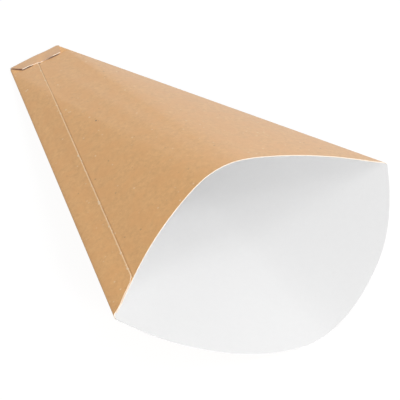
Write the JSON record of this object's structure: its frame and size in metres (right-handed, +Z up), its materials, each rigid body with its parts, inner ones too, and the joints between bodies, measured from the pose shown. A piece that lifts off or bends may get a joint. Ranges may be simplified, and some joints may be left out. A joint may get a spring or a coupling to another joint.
{
  "type": "paper crepe cone",
  "caption": "Folded card cone for holding a crepe, kraft outside and white inside, with a glued side lap, a hem folded over the narrow end, a scooped front and a tongue-shaped back.",
  "frame": {"origin": "middle of the box in X and Y, on the surface that the cone lies on", "axes": "+Y from the open mouth to the closed narrow end, +X across the cone to the right when looking into the mouth, +Z up, from the back panel to the front panel"},
  "size_m": [0.1418, 0.2187, 0.044],
  "materials": {
    "kraft_card": "matt kraft outside, matt white lining inside"
  },
  "bodies": {
    "root": {"crepe_cone": "kraft_card"}
  },
  "joints": []
}
